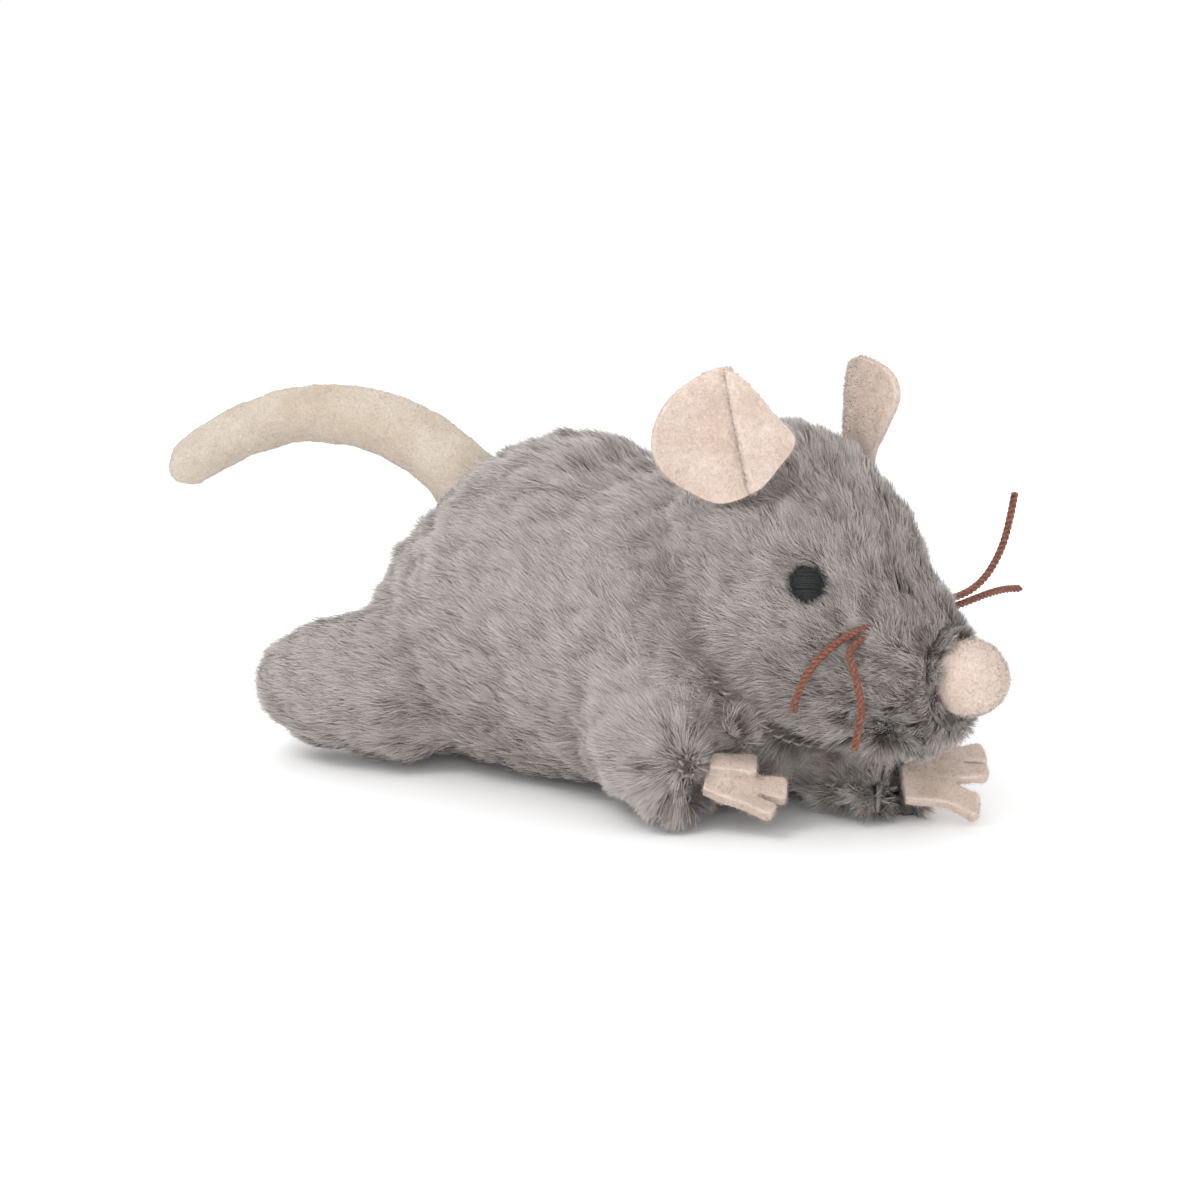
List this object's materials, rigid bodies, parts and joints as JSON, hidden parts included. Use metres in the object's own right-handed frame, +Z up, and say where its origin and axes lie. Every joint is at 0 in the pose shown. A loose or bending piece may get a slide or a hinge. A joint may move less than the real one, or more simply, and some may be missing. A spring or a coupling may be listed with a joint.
{
  "type": "stuffed plush mouse",
  "caption": "Sewn grey plush mouse lying on its belly, with pink felt ears, nose and paws, cord whiskers and a stiff cream fleece tail.",
  "frame": {"origin": "On the surface the mouse lies on, under the middle of its bounding box", "axes": "+X forward to the nose, +Y to the mouse's left, +Z up"},
  "size_m": [0.1868, 0.0686, 0.08],
  "materials": {
    "grey_plush": "matt, long soft pile",
    "pink_felt": "matt, short fibres",
    "cream_fleece": "matt, fine nap",
    "whisker_cord": "satin, twisted",
    "eye_thread": "satin thread",
    "seam_thread": "matt thread",
    "fibre_filling": "matt, loose fibre"
  },
  "bodies": {
    "trunk": {"body_panel_left": "grey_plush", "body_panel_right": "grey_plush", "belly_panel": "grey_plush", "body_filling": "fibre_filling", "hind_leg_filling_left": "fibre_filling", "hind_leg_filling_right": "fibre_filling", "neck_thread": "seam_thread", "tail_thread": "seam_thread"},
    "head": {"head_panel_left": "grey_plush", "head_panel_right": "grey_plush", "chin_panel": "grey_plush", "head_filling": "fibre_filling", "nose_cap": "pink_felt", "nose_filling": "fibre_filling", "eye_left": "eye_thread", "eye_right": "eye_thread", "whisker_cord_upper": "whisker_cord", "whisker_cord_lower": "whisker_cord", "muzzle_thread": "seam_thread"},
    "ear_left": {"ear_left": "pink_felt"},
    "ear_right": {"ear_right": "pink_felt"},
    "arm_left": {"arm_sleeve_left": "grey_plush", "arm_filling_left": "fibre_filling", "cuff_thread_left": "seam_thread"},
    "arm_right": {"arm_sleeve_right": "grey_plush", "arm_filling_right": "fibre_filling", "cuff_thread_right": "seam_thread"},
    "paw_left": {"paw_left": "pink_felt"},
    "paw_right": {"paw_right": "pink_felt"},
    "tail": {"tail_sleeve": "cream_fleece", "tail_filling": "fibre_filling"}
  },
  "joints": [
    {"name": "neck_turn", "type": "hinge", "parent": "trunk", "child": "head", "pos_m": [0.047, 0, 0.034], "axis": [0, 0, 1], "range_deg": [-12, 12], "stiffness_Nm_per_rad": 0.05},
    {"name": "shoulder_left", "type": "hinge", "parent": "trunk", "child": "arm_left", "pos_m": [0.038, 0.022, 0.01], "axis": [0, 0, 1], "range_deg": [0, 25], "stiffness_Nm_per_rad": 0.012},
    {"name": "shoulder_right", "type": "hinge", "parent": "trunk", "child": "arm_right", "pos_m": [0.034, -0.02, 0.014], "axis": [0, 0, -1], "range_deg": [0, 25], "stiffness_Nm_per_rad": 0.012},
    {"name": "tail_swing", "type": "hinge", "parent": "trunk", "child": "tail", "pos_m": [-0.015, 0, 0.045], "axis": [0, 0, 1], "range_deg": [-20, 20], "stiffness_Nm_per_rad": 0.02},
    {"name": "ear_fold_left", "type": "hinge", "parent": "head", "child": "ear_left", "pos_m": [0.055, 0.018, 0.06], "axis": [-0.8192, 0.5736, 0], "range_deg": [-15, 35], "stiffness_Nm_per_rad": 0.004},
    {"name": "ear_fold_right", "type": "hinge", "parent": "head", "child": "ear_right", "pos_m": [0.055, -0.018, 0.06], "axis": [0.8192, 0.5736, 0], "range_deg": [-15, 35], "stiffness_Nm_per_rad": 0.004},
    {"name": "paw_flex_left", "type": "hinge", "parent": "arm_left", "child": "paw_left", "pos_m": [0.0757, 0.0018, 0.0058], "axis": [-0.5104, 0.6533, 0.5592], "range_deg": [-12, 12], "stiffness_Nm_per_rad": 0.004},
    {"name": "paw_flex_right", "type": "hinge", "parent": "arm_right", "child": "paw_right", "pos_m": [0.052, -0.0228, 0.0088], "axis": [-0.333, 0.7834, 0.5248], "range_deg": [-12, 12], "stiffness_Nm_per_rad": 0.004}
  ]
}
